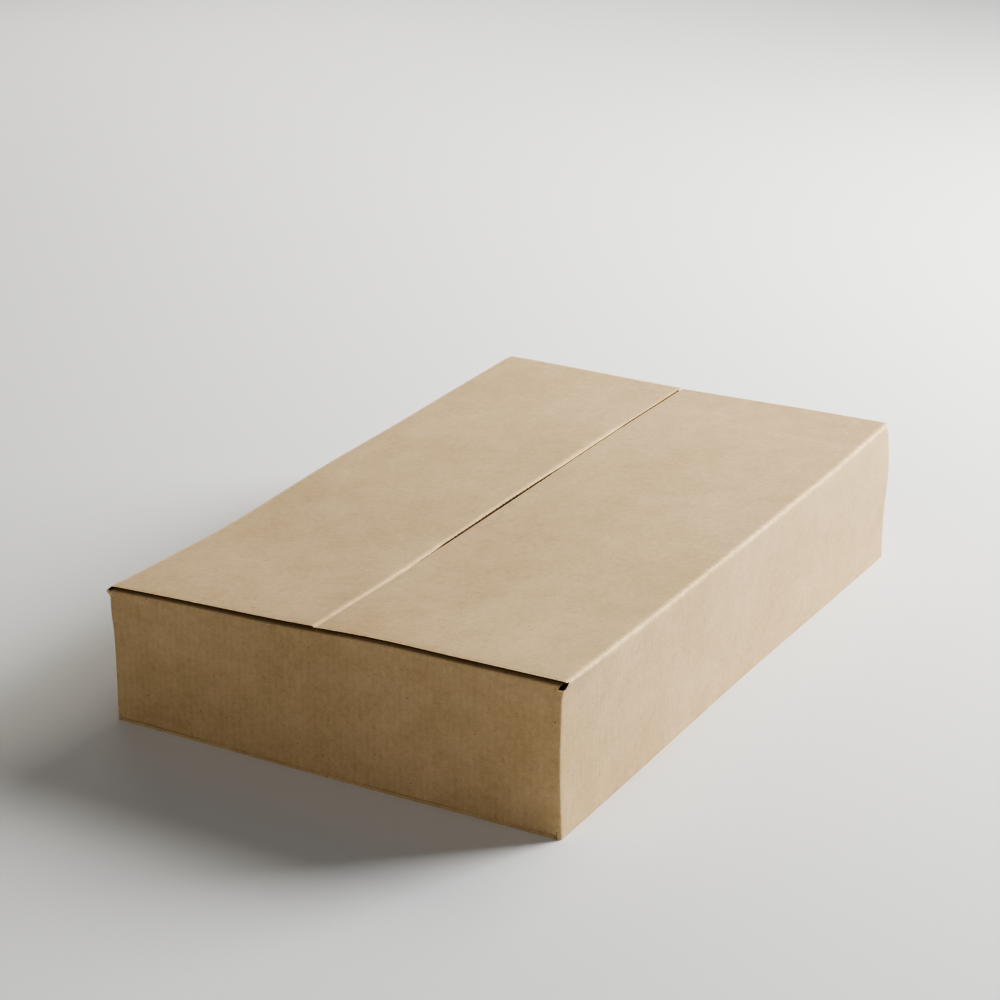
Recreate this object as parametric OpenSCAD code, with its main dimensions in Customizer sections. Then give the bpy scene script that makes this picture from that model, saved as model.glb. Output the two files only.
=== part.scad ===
// Shallow slotted carton, folded from one sheet of corrugated board and lying with its top closed.
// X runs along the top seam, Z is up, and the origin is on the ground under the middle of the carton.

/* [Carton] */
// Outside length, along the top seam
carton_l = 350; // [280:1:450]
// Outside width, across the top seam
carton_w = 220; // [160:1:300]
// Outside height with the top closed
carton_h = 70; // [45:1:160]

/* [Board] */
// Thickness of the corrugated board
board_t = 1.6; // [1.0:0.1:2.6]
// Inside radius of a folded crease
crease_r = 0.4; // [0.2:0.1:1.0]

/* [Top flaps] */
// Gap between the two outer flaps where they meet
top_seam = 1.0; // [0.4:0.1:4.0]
// How far the top seam lies off the middle, towards the left flap
seam_shift = 5.5; // [0:0.5:10]
// Air between the outer flaps and the inner flaps under them
flap_air = 0.7; // [0.2:0.1:1.2]
// Width of the cut that frees each outer flap at its crease
hinge_cut = 0.3; // [0.2:0.05:0.5]

/* [Inner flaps] */
// Depth of each inner flap, from the outside of its end wall
inner_flap_d = 108; // [40:1:125]
// Width of the slot beside each inner top flap, from the outside of the long wall
slot_w = 4; // [3.5:0.5:8]
// How far the outer flaps stop short of the outside of the end walls
flap_trim = 0.5; // [0.2:0.1:2.0]

/* [Bottom flaps] */
// Gap between the two outer bottom flaps
bottom_seam = 1.0; // [0.4:0.1:4.0]
// Width of the narrow slot between each inner bottom flap and the corner folds
foot_slot_w = 0.6; // [0.3:0.1:4.0]

/* [Glue tab] */
// Width of the glue tab on the inside of the far end wall
tab_w = 32; // [20:1:45]
// How far each slanting end of the tab drops towards its free edge
tab_taper = 9; // [4:1:14]
// Room between the ends of the tab and the folds of the inner flaps
tab_room = 1.0; // [0.5:0.1:2.0]
// How far the end wall's cut edge stops short of the glued corner
tab_edge = 1.0; // [0.3:0.1:2.0]

/* [Hidden] */
$fn = 64;
LEFT = 1;
RIGHT = -1;
FAR = 1;
NEAR = -1;
KRAFT = [0.74, 0.64, 0.53];
KRAFT_SHADE = [0.66, 0.55, 0.43];
crease_out = crease_r + board_t;
half_l = carton_l / 2;
half_w = carton_w / 2;
corner_x = half_l - crease_out;
corner_y = half_w - crease_out;
flap_l = carton_l - 2 * flap_trim;
top_flap_w = carton_w - 2 * slot_w;
foot_flap_w = 2 * (corner_y - foot_slot_w);
inner_top_z = carton_h - board_t - flap_air;
slot_top_z = inner_top_z - crease_out;
slot_bottom_z = board_t + crease_out;
glued_x = corner_x - board_t;

// A block between two opposite corners
module panel(low, high) {
    translate(low) cube(high - low);
}

// A quarter turn of folded board round the Z axis
module fold(length, start) {
    rotate([0, 0, start])
        translate([0, 0, -length / 2])
            rotate_extrude(angle = 90)
                translate([crease_r, 0])
                    square([board_t, length]);
}

// The half of a fold on one side of its mitre, with half of the hinge cut taken off
module hinged_fold(length, start, keep) {
    difference() {
        fold(length, start);
        rotate([0, 0, start + 45])
            translate([0, keep * (hinge_cut / 2 - crease_out), 0])
                cube([4 * crease_out, 2 * crease_out, 2 * length], center = true);
    }
}

// Turn a fold's axis to run along X, with its section in the YZ plane
module along_x() {
    rotate([90, 0, 90]) children();
}

// Turn a fold's axis to run along Y, with its section in the XZ plane
module along_y() {
    rotate([90, 0, 0]) children();
}

// Long wall, from the fold of its bottom flap to the hinge of its top flap
module long_wall(side) {
    far_x = side == LEFT ? glued_x : corner_x;
    wall_l = far_x + corner_x;
    wall_x = (far_x - corner_x) / 2;
    inner_y = side * (half_w - board_t);
    outer_y = side * half_w;
    panel([-corner_x, min(inner_y, outer_y), crease_out],
          [far_x, max(inner_y, outer_y), carton_h - crease_out]);
    translate([wall_x, side * corner_y, carton_h - crease_out])
        along_x() hinged_fold(wall_l, side == LEFT ? 0 : 90, -side);
    translate([wall_x, side * corner_y, crease_out])
        along_x() fold(wall_l, side == LEFT ? 270 : 180);
}

// Outer bottom flap, folded in under the inner bottom flaps
module bottom_flap(side) {
    edge_y = side * bottom_seam / 2;
    fold_y = side * corner_y;
    panel([-flap_l / 2, min(edge_y, fold_y), 0], [flap_l / 2, max(edge_y, fold_y), board_t]);
}

// End wall, with its upright cut down to the slots at both corners
module end_wall(side) {
    left_y = side == FAR ? half_w - tab_edge : corner_y;
    inner_x = side * (half_l - board_t);
    outer_x = side * half_l;
    panel([min(inner_x, outer_x), -corner_y, slot_bottom_z],
          [max(inner_x, outer_x), left_y, slot_top_z]);
}

// Inner flap and its fold, at the top or the bottom of an end wall
module inner_flap(side, face_z, upper) {
    flap_w = upper ? top_flap_w : foot_flap_w;
    fold_z = upper ? face_z - crease_out : face_z + crease_out;
    tip_x = side * (half_l - inner_flap_d);
    fold_x = side * corner_x;
    low_z = upper ? face_z - board_t : face_z;
    panel([min(tip_x, fold_x), -flap_w / 2, low_z],
          [max(tip_x, fold_x), flap_w / 2, low_z + board_t]);
    start = upper ? (side == FAR ? 0 : 90) : (side == FAR ? 270 : 180);
    translate([fold_x, 0, fold_z])
        along_y() fold(flap_w, start);
}

// Upright corner fold between a long wall and an end wall
module corner_fold(x, y, start, low_z, high_z) {
    translate([x, y, (low_z + high_z) / 2])
        fold(high_z - low_z, start);
}

// Glue tab on the inside of the far end wall, with slanting ends
module glue_tab() {
    low_z = slot_bottom_z + tab_room;
    high_z = slot_top_z - tab_room;
    corner_fold(glued_x, corner_y, 0, low_z, high_z);
    translate([half_l - 2 * board_t, 0, 0])
        along_x() linear_extrude(board_t)
            polygon([[corner_y, low_z], [corner_y, high_z],
                     [corner_y - tab_w, high_z - tab_taper], [corner_y - tab_w, low_z + tab_taper]]);
}

// The folded sheet without its outer top flaps
module carton() {
    color(KRAFT_SHADE) union() {
        for (side = [LEFT, RIGHT]) {
            long_wall(side);
            bottom_flap(side);
        }
        for (side = [FAR, NEAR]) {
            end_wall(side);
            inner_flap(side, inner_top_z, true);
            inner_flap(side, board_t, false);
        }
        corner_fold(-corner_x, corner_y, 90, crease_out, slot_top_z);
        corner_fold(-corner_x, -corner_y, 180, crease_out, slot_top_z);
        corner_fold(corner_x, -corner_y, 270, crease_out, slot_top_z);
        glue_tab();
    }
}

// Outer top flap with its half of the hinge crease
module outer_flap(side) {
    edge_y = seam_shift + side * top_seam / 2;
    fold_y = side * corner_y;
    panel([-flap_l / 2, min(edge_y, fold_y), carton_h - board_t],
          [flap_l / 2, max(edge_y, fold_y), carton_h]);
    translate([0, fold_y, carton_h - crease_out])
        along_x() hinged_fold(flap_l, side == LEFT ? 0 : 90, side);
}

module left_top_flap() {
    color(KRAFT) outer_flap(LEFT);
}

module right_top_flap() {
    color(KRAFT) outer_flap(RIGHT);
}

carton();
left_top_flap();
right_top_flap();
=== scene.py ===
# Dresses a closed slotted carton as creased, slightly slack kraft board

import math
from typing import NamedTuple

import bpy
import numpy as np
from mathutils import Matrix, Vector


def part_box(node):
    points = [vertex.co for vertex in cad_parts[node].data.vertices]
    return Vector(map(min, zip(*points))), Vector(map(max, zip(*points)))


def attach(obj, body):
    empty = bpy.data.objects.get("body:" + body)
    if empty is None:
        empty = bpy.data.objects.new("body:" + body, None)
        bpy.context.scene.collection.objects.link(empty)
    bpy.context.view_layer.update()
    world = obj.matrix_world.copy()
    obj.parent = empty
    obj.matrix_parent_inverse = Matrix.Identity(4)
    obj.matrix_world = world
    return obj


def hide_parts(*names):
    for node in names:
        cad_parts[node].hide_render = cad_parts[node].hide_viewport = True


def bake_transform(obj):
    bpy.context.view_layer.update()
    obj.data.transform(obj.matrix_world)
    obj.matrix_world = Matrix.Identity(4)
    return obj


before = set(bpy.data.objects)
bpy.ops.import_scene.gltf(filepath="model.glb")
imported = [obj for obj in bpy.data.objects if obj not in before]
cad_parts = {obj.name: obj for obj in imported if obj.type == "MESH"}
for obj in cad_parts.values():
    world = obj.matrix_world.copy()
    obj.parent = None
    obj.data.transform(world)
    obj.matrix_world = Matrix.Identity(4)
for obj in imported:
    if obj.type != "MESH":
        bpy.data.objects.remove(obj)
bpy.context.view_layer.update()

bl_info = {
    "name": "Slotted Carton",
    "version": (1, 0, 0),
    "blender": (4, 5, 0),
    "location": "3D View > Sidebar > Carton",
    "description": "Folds a slotted carton from one sheet of kraft board and sets it on a pale floor",
    "category": "Object",
}

# Sizes that the fixed frame gives, in metres
CARTON_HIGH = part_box("carton")[1]
LEFT_LOW, LEFT_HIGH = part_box("left_top_flap")
RIGHT_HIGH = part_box("right_top_flap")[1]
HALF_L = CARTON_HIGH.x
HALF_W = CARTON_HIGH.y
TOP = LEFT_HIGH.z
FLAP_HALF = LEFT_HIGH.x
LEFT_SEAM = LEFT_LOW.y
RIGHT_SEAM = RIGHT_HIGH.y

MM = 0.001
TINY = 1e-7
QUARTER = math.pi / 2
TURN = 2 * math.pi

# Grid of the sheet
FINE_STEPS = np.array([0.0, 0.35, 0.9, 1.8, 3.2, 5.2]) * MM
PANEL_STEP = 6.5 * MM
LINE_GAP = 0.12 * MM
FOLD_ROWS = 14
CORNER_ROWS = 5
BEND_COLUMNS = 10
SPREAD_PASSES = 12
SHARP_ANGLE = math.radians(38)

# Widths of the strips that are crushed or drawn in along cuts and folds
EDGE_CRUSH_REACH = 0.9 * MM
FOLD_CRUSH_REACH = 1.5 * MM
UNDERCUT_REACH = 3.2 * MM
# Groove of a cut that is pressed shut at the foot
SHUT_GROOVE = 0.02 * MM
# How far the bottom flaps stop short of the end walls
FOOT_TRIM = 0.05 * MM
# Added to the distance from a fold that never opens, so that it gets less of the crease paling and
# painted highlight
FIRM_FOLD = 1.1 * MM
# Distance that stands for no cut near by
FAR_AWAY = 1.0

# The papers in order: the board's three material slots, and the paper of the flutes
OUTSIDE, INSIDE, CORE, FLUTES = range(4)

END_WALLS = ("near", "far")
LONG_WALLS = ("left", "right")


def size(name, description, default):
    """A length that a user may change."""
    return bpy.props.FloatProperty(
        name=name, description=description, default=default, precision=5, unit="LENGTH")


def angle(name, description, degrees):
    """An angle that a user may change."""
    return bpy.props.FloatProperty(
        name=name, description=description, default=math.radians(degrees), unit="ROTATION")


def share(name, description, default):
    """A plain number that a user may change."""
    return bpy.props.FloatProperty(name=name, description=description, default=default)


def shift(name, description, millimetres):
    """A small move in the frame that a user may change."""
    return bpy.props.FloatVectorProperty(
        name=name, description=description, size=3, subtype="TRANSLATION", precision=5,
        default=tuple(m * MM for m in millimetres))


def colour(name, description, default):
    """A linear colour that a user may change."""
    return bpy.props.FloatVectorProperty(
        name=name, description=description, size=3, subtype="COLOR", min=0.0, max=1.0, default=default)


class CartonBoard(bpy.types.PropertyGroup):
    """Sizes of the sheet and its cuts."""

    thickness: size("Thickness", "Thickness of the corrugated board", 1.6 * MM)
    liner: size("Liner", "Thickness of each facing paper", 0.27 * MM)
    crease_radius: size("Crease radius", "Inside radius of a folded crease", 0.4 * MM)
    flap_air: size("Flap air", "Air between the outer and the inner top flaps", 0.7 * MM)
    slot: size("Slot", "Width of the slot beside each inner top flap", 4.0 * MM)
    tight_slot: size("Tight slot", "Width of the same slot at the near left corner", 2.2 * MM)
    right_slot: size("Right slot", "Width of the same slot at the near right corner", 2.7 * MM)
    tall_room: size("Tall room", "Room over the upright fold of the near left corner", 0.3 * MM)
    foot_slot: size("Foot slot", "Width of the slot beside each inner bottom flap", 0.2 * MM)
    inner_depth: size("Inner flap depth", "Depth of an inner flap from its end wall", 108.0 * MM)
    bottom_seam: size("Bottom seam", "Gap between the outer bottom flaps", 0.1 * MM)
    tab_width: size("Tab width", "Width of the glue tab", 32.0 * MM)
    tab_taper: size("Tab taper", "Drop of each slanting end of the glue tab", 9.0 * MM)
    tab_room: size("Tab room", "Room between the tab and the inner flaps' folds", 1.0 * MM)
    tab_edge: size("Tab edge", "How far the end wall stops short of the glued corner", 1.0 * MM)
    flute_pitch: size("Flute pitch", "Length of one wave of the fluted paper", 3.2 * MM)
    flute_paper: size("Flute paper", "Thickness of the fluted paper", 0.2 * MM)
    edge_groove: size("Edge groove", "How far the core lies behind a cut across the flutes", 1.1 * MM)
    side_groove: size("Side groove", "How far the core lies behind a cut along the flutes", 0.7 * MM)
    flap_groove: size("Flap groove", "How far the core lies behind an outer top flap's sides", 2.2 * MM)
    undercut: size("Undercut", "How far an outer top flap's lower paper stops short", 1.0 * MM)
    flute_setback: size("Flute setback", "How far the fluted paper lies behind a cut edge", 0.12 * MM)


class CartonSlack(bpy.types.PropertyGroup):
    """How the real carton departs from a true box."""

    top_near_left: shift("Top near left", "Lean of this corner", (-2.1, -1.4, -4.1))
    top_near_right: shift("Top near right", "Lean of this corner", (0.0, -0.2, -0.6))
    top_far_right: shift("Top far right", "Lean of this corner", (0.1, 1.5, 1.2))
    top_far_left: shift("Top far left", "Lean of this corner", (0.8, 0.7, 1.8))
    foot_near_left: shift("Foot near left", "Lean of this corner", (1.5, 2.4, 0.0))
    foot_near_right: shift("Foot near right", "Lean of this corner", (0.9, -0.6, 0.0))
    foot_far_right: shift("Foot far right", "Lean of this corner", (-3.2, -0.7, 0.0))
    foot_far_left: shift("Foot far left", "Lean of this corner", (0.0, 0.0, 0.0))
    ripple: size("Ripple", "Height of the board's long soft waves", 0.09 * MM)
    right_sag: size("Right sag", "Sag of the right flap's free edge between the inner flaps", 0.3 * MM)
    roll_reach: size("Roll reach", "Width of the left flap's edge that is rolled over", 0.7 * MM)
    edge_crush: share("Edge crush", "Share of the thickness lost at a cut edge", 0.16)
    fold_crush: share("Fold crush", "Share of the thickness lost at a crease", 0.14)
    foot_round: share("Foot round", "Roundness of the folds at the foot, with one for a true arc", 0.04)
    top_round: share("Top round", "Roundness of the folds at the top, with one for a true arc", 0.6)
    corner_round: share("Corner round", "Roundness of the upright folds, with one for a true arc", 0.5)


class CartonFinish(bpy.types.PropertyGroup):
    """Colours of the papers and the floor."""

    outer: colour("Outer liner", "Colour of the outside paper", (0.525, 0.382, 0.2205))
    inner: colour("Inner liner", "Colour of the inside paper", (0.47, 0.33, 0.19))
    # The cut core's colour holds the core's own darker brown and painted shade of the groove behind
    # each cut
    core: colour("Cut core", "Colour of the board's cut core", (0.23, 0.146, 0.075))
    flute: colour("Fluted paper", "Colour of the fluted paper", (0.42, 0.283, 0.155))
    floor: colour("Floor", "Colour of the floor", (0.74, 0.74, 0.735))


class CartonStage(bpy.types.PropertyGroup):
    """Camera and lights."""

    azimuth: angle("Azimuth", "Direction of the camera round the carton", -60.369)
    elevation: angle("Elevation", "Height of the camera above the horizon", 21.033)
    distance: size("Distance", "Distance of the camera from the frame's origin", 1.2015)
    side_step: size("Side step", "Sideways move of the camera", -14.59 * MM)
    rise: size("Rise", "Upward move of the camera", 62.62 * MM)
    lens: share("Lens", "Focal length of the camera in millimetres", 90.68)
    key_power: share("Key power", "Power of the strong light at the far right", 39.0)
    back_power: share("Back power", "Power of the weak light beyond the far end", 7.0)
    front_power: share("Front power", "Power of the wide light at the near right", 1.5)
    near_power: share("Near power", "Power of the wide light before the near end", 6.0)
    left_power: share("Left power", "Power of the weak light at the far left", 3.0)
    behind_power: share("Behind power", "Power of the light on the floor behind the carton", 3.5)
    sky: share("Sky", "Strength of the even light all round", 0.10)


SETTINGS = {
    "carton_board": CartonBoard,
    "carton_slack": CartonSlack,
    "carton_finish": CartonFinish,
    "carton_stage": CartonStage,
}


class Straight(NamedTuple):
    """A flat stretch of the girth, seen in plan."""

    name: str
    start: float
    length: float
    spot: tuple
    heading: tuple

    @property
    def end(self):
        return self.start + self.length

    def trace(self, along):
        """Points of the outer face and their outward normals."""
        heading = np.array(self.heading, float)
        normal = np.array([heading[1], -heading[0]])
        points = np.array(self.spot) + along[:, None] * heading
        return points, np.broadcast_to(normal, points.shape)


class Bend(NamedTuple):
    """A quarter turn of the girth at an upright corner, seen in plan."""

    name: str
    start: float
    length: float
    spot: tuple
    first_angle: float
    radius: float
    roundness: float

    @property
    def end(self):
        return self.start + self.length

    def trace(self, along):
        """Points of the outer face and their outward normals."""
        turn = self.first_angle + along / self.length * QUARTER
        normal = np.stack([np.cos(turn), np.sin(turn)], 1)
        squared = np.sign(normal) * np.abs(normal) ** self.roundness
        return np.array(self.spot) + self.radius * squared, normal


class Pull(NamedTuple):
    """A soft tug on the carton, full at its centre and gone a few reaches away."""

    centre: tuple
    reach: tuple
    shift: tuple


# Places where the board springs out of true, with reaches and shifts in millimetres
PULLS = (
    # Corner that springs open beside the near end of the left crease
    Pull((-HALF_L, HALF_W, TOP - 3 * MM), (7, 7, 1.7), (-0.5, 2.1, 0.0)),
    # Same corner, a softer swell down the upright fold
    Pull((-HALF_L, HALF_W, TOP - 10 * MM), (14, 14, 12), (0.0, 1.5, 0.0)),
    # Right crease that stands proud of its wall at the near end
    Pull((-HALF_L, -HALF_W, TOP), (35, 30, 4.5), (0.0, -2.8, 0.0)),
    # Upright fold below it, drawn in at half height
    Pull((-HALF_L, -HALF_W, 0.45 * TOP), (40, 40, 25), (-0.6, 0.45, 0.0)),
    # Right crease that sags and bulges along the middle of its length
    *(Pull((place * HALF_L, -HALF_W, TOP), (60, 40, 25), (0.0, -1.4, -1.2))
      for place in (-0.54, 0.0, 0.54)),
    # Near edge of the top, which stands higher than the rest
    Pull((-HALF_L, -0.95 * HALF_W, TOP), (25, 45, 30), (0.0, 0.0, 1.6)),
    Pull((-HALF_L, -0.25 * HALF_W, TOP), (50, 45, 30), (0.0, 0.0, 2.3)),
    Pull((-HALF_L, 0.6 * HALF_W, TOP), (45, 45, 30), (0.0, 0.0, 0.9)),
    # Left crease that dips towards its near end
    Pull((-0.49 * HALF_L, HALF_W, TOP), (60, 60, 40), (0.0, 0.0, -2.4)),
    Pull((0.29 * HALF_L, HALF_W, TOP), (60, 60, 40), (0.0, 0.0, -0.8)),
    # Far edge of the top that sags between its ends
    Pull((HALF_L, 0.02 * HALF_W, TOP), (60, 60, 40), (0.0, 0.0, -1.3)),
    # Foot of the near end wall, which bows out, and of the right wall, which bows in
    Pull((-HALF_L, 0.0, 0.0), (50, 70, 40), (-0.9, 0.0, 0.0)),
    Pull((0.0, -HALF_W, 0.0), (90, 40, 40), (0.0, 1.2, 0.0)),
    # Far right corner that swells below its crease
    Pull((HALF_L, -HALF_W, 0.66 * TOP), (30, 30, 18), (0.8, -1.4, 0.0)),
)


class SeamState(NamedTuple):
    """How the left flap's free edge lies at one place, given as a share of the half length."""

    place: float
    lift: float
    reach: float
    roll: float


# The free edge rides up on the right flap, draws back from it and rides up again, in millimetres
SEAM = (
    SeamState(-1.00, 0.5, 0.5, 0.60),
    SeamState(-0.63, 1.0, 0.8, 0.90),
    SeamState(-0.47, 0.8, 0.5, 0.60),
    SeamState(-0.38, 0.4, -0.5, 0.40),
    SeamState(-0.05, 0.2, -0.9, 0.40),
    SeamState(0.08, 0.4, -0.4, 0.45),
    SeamState(0.25, 0.9, 0.5, 0.70),
    SeamState(0.52, 0.8, 0.4, 0.60),
    SeamState(0.68, 0.2, 0.0, 0.10),
    SeamState(1.00, 0.3, -0.2, 0.05),
)
# Stretches of the same edge whose flutes can be seen, as shares of the half length
OPEN_EDGE = ((-0.37, 0.07), (0.69, 1.0))

# The board's long soft waves, in metres, and the seed of their directions
RIPPLE_LENGTHS = (0.135, 0.083, 0.052)
RIPPLE_SEED = 7


class Blank:
    """The carton's one sheet: u runs along the girth, v up a panel, and depth in from the outside."""

    def __init__(self, board, slack):
        self.board = board
        self.slack = slack
        self.thick = board.thickness
        self.fold_out = board.crease_radius + self.thick
        self.fold_len = QUARTER * (board.crease_radius + self.thick / 2)
        self.low_long = self.fold_out
        self.high_long = TOP - self.fold_out
        self.flat_from = self.high_long + self.fold_len
        self.corner_low = self.low_long - self.fold_len * CORNER_ROWS / FOLD_ROWS
        self.slot_low = self.thick + self.fold_out
        self.slot_high = TOP - self.thick - board.flap_air - self.fold_out
        self.tab_low = self.slot_low + board.tab_room
        self.tab_high = self.slot_high - board.tab_room
        self.corner_x = HALF_L - self.fold_out
        self.corner_y = HALF_W - self.fold_out
        self.glued_x = self.corner_x - self.thick
        self.parts = self.lay_out()
        self.top_side = board.slot - self.fold_out
        self.tight_side = board.tight_slot - self.fold_out
        self.right_side = board.right_slot - self.fold_out
        self.tall_corner = self.high_long - board.tall_room
        inner_flat = board.inner_depth - self.fold_out
        self.tip_end_low = self.slot_low - self.fold_len - inner_flat
        self.tip_end_high = self.slot_high + self.fold_len + inner_flat
        self.tip_bottom = self.low_long - self.fold_len - (self.corner_y - board.bottom_seam / 2)
        self.tip_left = self.flat_from + self.corner_y - LEFT_SEAM
        self.tip_right = self.flat_from + self.corner_y + RIGHT_SEAM

    def lay_out(self):
        """The stretches of the girth in order, from the glue tab round to the far end wall."""
        cx, cy, tab = self.corner_x, self.corner_y, self.board.tab_width
        stretches = (
            ("tab", tab, (HALF_L - self.thick, cy - tab), (0, 1)),
            ("tab_bend", None, (self.glued_x, cy), 0.0),
            ("left", self.glued_x + cx, (self.glued_x, HALF_W), (-1, 0)),
            ("near_left_bend", None, (-cx, cy), QUARTER),
            ("near", 2 * cy, (-HALF_L, cy), (0, -1)),
            ("near_right_bend", None, (-cx, -cy), 2 * QUARTER),
            ("right", 2 * cx, (-cx, -HALF_W), (1, 0)),
            ("far_right_bend", None, (cx, -cy), 3 * QUARTER),
            ("far", cy + HALF_W - self.board.tab_edge, (HALF_L, -cy), (0, 1)),
        )
        parts = {}
        start = 0.0
        for name, run, spot, way in stretches:
            if run is None:
                run = self.fold_len
                parts[name] = Bend(name, start, run, spot, way, self.fold_out, self.slack.corner_round)
            else:
                parts[name] = Straight(name, start, run, spot, way)
            start += run
        return parts

    def within(self, u, *names, margin=TINY):
        """Which points of u lie in the named stretches, or no more than a margin outside them."""
        found = np.zeros(np.shape(u), bool)
        for name in names:
            part = self.parts[name]
            found |= between(u, part.start - margin, part.end + margin)
        return found

    def on_end_wall(self, u):
        """Which points of u lie on the near or the far end wall, clear of its corners."""
        return self.within(u, *END_WALLS, margin=-TINY)

    def on_flap(self, u, name):
        """Which points of u lie on a long wall or in line with its flaps."""
        first, last = self.flap_span(name)
        return between(u, first - TINY, last + TINY)

    def flap_span(self, name):
        """Where the ends of a long wall's flaps lie along the girth."""
        wall = self.parts[name]
        return wall.start - self.fold_len, wall.end + self.fold_len

    def flap_stretch(self, name, place):
        """Where a place along the carton, from minus one to one, lies on a long wall's girth."""
        wall = self.parts[name]
        first, last = self.flap_span(name)
        return np.clip(wall.start + (place * HALF_L - wall.spot[0]) * wall.heading[0], first, last)

    def along_seam(self, u, name):
        """Place along the carton of points on a long wall, from minus one to one."""
        wall = self.parts[name]
        return np.clip((wall.spot[0] + wall.heading[0] * (u - wall.start)) / HALF_L, -1, 1)

    def plan(self, u):
        """Outer face in plan, round the girth."""
        points = np.zeros((len(u), 2))
        normals = np.zeros((len(u), 2))
        for part in self.parts.values():
            here = self.within(u, part.name)
            points[here], normals[here] = part.trace(u[here] - part.start)
        return points, normals

    def flap_plan(self, u, v):
        """Outer face in plan, with the long walls' flaps running straight past the corners."""
        points, normals = self.plan(u)
        half = np.where(v < self.slot_low, HALF_L - FOOT_TRIM, FLAP_HALF)
        for name in LONG_WALLS:
            wall = self.parts[name]
            here = self.on_flap(u, name)
            along = u[here] - wall.start
            first_x = abs(wall.spot[0])
            last_x = abs(wall.spot[0] + wall.heading[0] * wall.length)
            before = np.minimum(along, 0) * (half[here] - first_x) / self.fold_len
            after = np.maximum(along - wall.length, 0) * (half[here] - last_x) / self.fold_len
            points[here], normals[here] = wall.trace(np.clip(along, 0, wall.length) + before + after)
        return points, normals

    def creases(self, u):
        """Heights where the lower and the upper fold of each u begin."""
        at_end = self.on_end_wall(u)
        return (np.where(at_end, self.slot_low, self.low_long),
                np.where(at_end, self.slot_high, self.high_long))

    def near_fold(self, u, v, firm=0.0):
        """Distance from the nearest crease, more by firm where no outer top flap hinges."""
        low, high = self.creases(u)
        to_low = np.abs(v - (low - self.fold_len / 2)) + firm
        to_high = np.abs(v - (high + self.fold_len / 2))
        to_high = to_high + np.where(self.on_end_wall(u), firm, 0.0)
        upright = between(v, low, high)
        nearest = np.minimum(to_low, to_high)
        for part in self.parts.values():
            if isinstance(part, Bend):
                to_bend = np.abs(u - (part.start + part.length / 2)) + firm
                nearest = np.where(upright, np.minimum(nearest, to_bend), nearest)
        return nearest

    def ripple(self, u, v):
        """Soft waves of the sheet, from minus one to one."""
        draw = np.random.default_rng(RIPPLE_SEED)
        total = 0.0
        for wave in RIPPLE_LENGTHS:
            lean, phase = draw.uniform(0, TURN, 2)
            total = total + np.sin(TURN * (u * math.cos(lean) + v * math.sin(lean)) / wave + phase)
        return total / len(RIPPLE_LENGTHS)

    def grown(self, u, v, name, tip):
        """A weight that grows over an outer top flap, from its crease to its free edge."""
        weight = np.clip((v - self.flat_from) / (tip - self.flat_from), 0, 1) ** 2
        return np.where(self.on_flap(u, name), weight, 0.0)

    def seam_state(self, u, v):
        """Lift, reach and roll of the left flap."""
        place = self.along_seam(u, "left")
        grown = self.grown(u, v, "left", self.tip_left)
        rim = np.exp(-((self.tip_left - v) / self.slack.roll_reach) ** 2)
        lift = eased(place, [state.lift * MM for state in SEAM])
        reach = eased(place, [state.reach * MM for state in SEAM])
        roll = eased(place, [state.roll for state in SEAM])
        return lift * grown, reach * grown, roll * np.where(grown > 0, rim, 0.0)

    def right_sag(self, u, v):
        """Sag of the right flap, most at the middle of its free edge."""
        middle = (1 - self.along_seam(u, "right") ** 2) ** 2
        return self.slack.right_sag * middle * self.grown(u, v, "right", self.tip_right)

    def place(self, u, v, depth):
        """Where points of the sheet lie on the folded carton."""
        v = self.tapered(u, v)
        low, high = self.creases(u)
        below = v <= self.low_long - self.fold_len + TINY
        run_on = below | (v >= self.high_long + self.fold_len / 2 - TINY)
        girth, girth_normal = self.plan(u)
        flap, flap_normal = self.flap_plan(u, v)
        spot = np.where(run_on[:, None], flap, girth)
        normal = np.where(run_on[:, None], flap_normal, girth_normal)
        over = np.clip((v - high) / self.fold_len, 0, 1)
        under = np.clip((low - v) / self.fold_len, 0, 1)
        lift, reach, roll = self.seam_state(u, v)
        past = np.maximum(v - high - self.fold_len, 0) + np.maximum(low - self.fold_len - v, 0) + reach
        tilt = (over - under) * QUARTER
        power = np.where(tilt < 0, self.slack.foot_round, self.slack.top_round)
        inward = self.fold_out * (1 - squared_arc(np.cos(tilt), power)) + past
        upward = np.clip(v, low, high) + self.fold_out * squared_arc(np.sin(tilt), power)
        relief = self.slack.ripple * self.ripple(u, v) + lift - self.right_sag(u, v)
        inset = depth + (self.thick - depth) * roll - relief
        flat = spot - normal * (inward + inset * np.cos(tilt))[:, None]
        height = upward - inset * np.sin(tilt)
        return self.settle(np.column_stack([flat, height]))

    def tapered(self, u, v):
        """Heights on the sheet, drawn together towards the glue tab's free edge."""
        tab = self.parts["tab"]
        middle = (self.slot_low + self.slot_high) / 2
        half = (self.tab_high - self.tab_low) / 2
        outward = np.clip((tab.end - u) / tab.length, 0, 1)
        return middle + (v - middle) * (1 - outward * self.board.tab_taper / half)

    def settle(self, points):
        """The folded carton's points, leaned at its corners and pulled where the board springs."""
        slack = self.slack
        x, y, z = (points / np.array([HALF_L, HALF_W, TOP])).T
        near, far = (1 - x) / 2, (1 + x) / 2
        right, left = (1 - y) / 2, (1 + y) / 2
        corners = (
            (near * left * z, slack.top_near_left),
            (near * right * z, slack.top_near_right),
            (far * right * z, slack.top_far_right),
            (far * left * z, slack.top_far_left),
            (near * left * (1 - z), slack.foot_near_left),
            (near * right * (1 - z), slack.foot_near_right),
            (far * right * (1 - z), slack.foot_far_right),
            (far * left * (1 - z), slack.foot_far_left),
        )
        moved = points.copy()
        for weight, lean in corners:
            moved += weight[:, None] * np.array(lean)
        for pull in PULLS:
            away = (points - np.array(pull.centre)) / (np.array(pull.reach) * MM)
            weight = np.exp(-(away ** 2).sum(1))
            moved += weight[:, None] * np.array(pull.shift) * MM
        return moved

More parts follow.
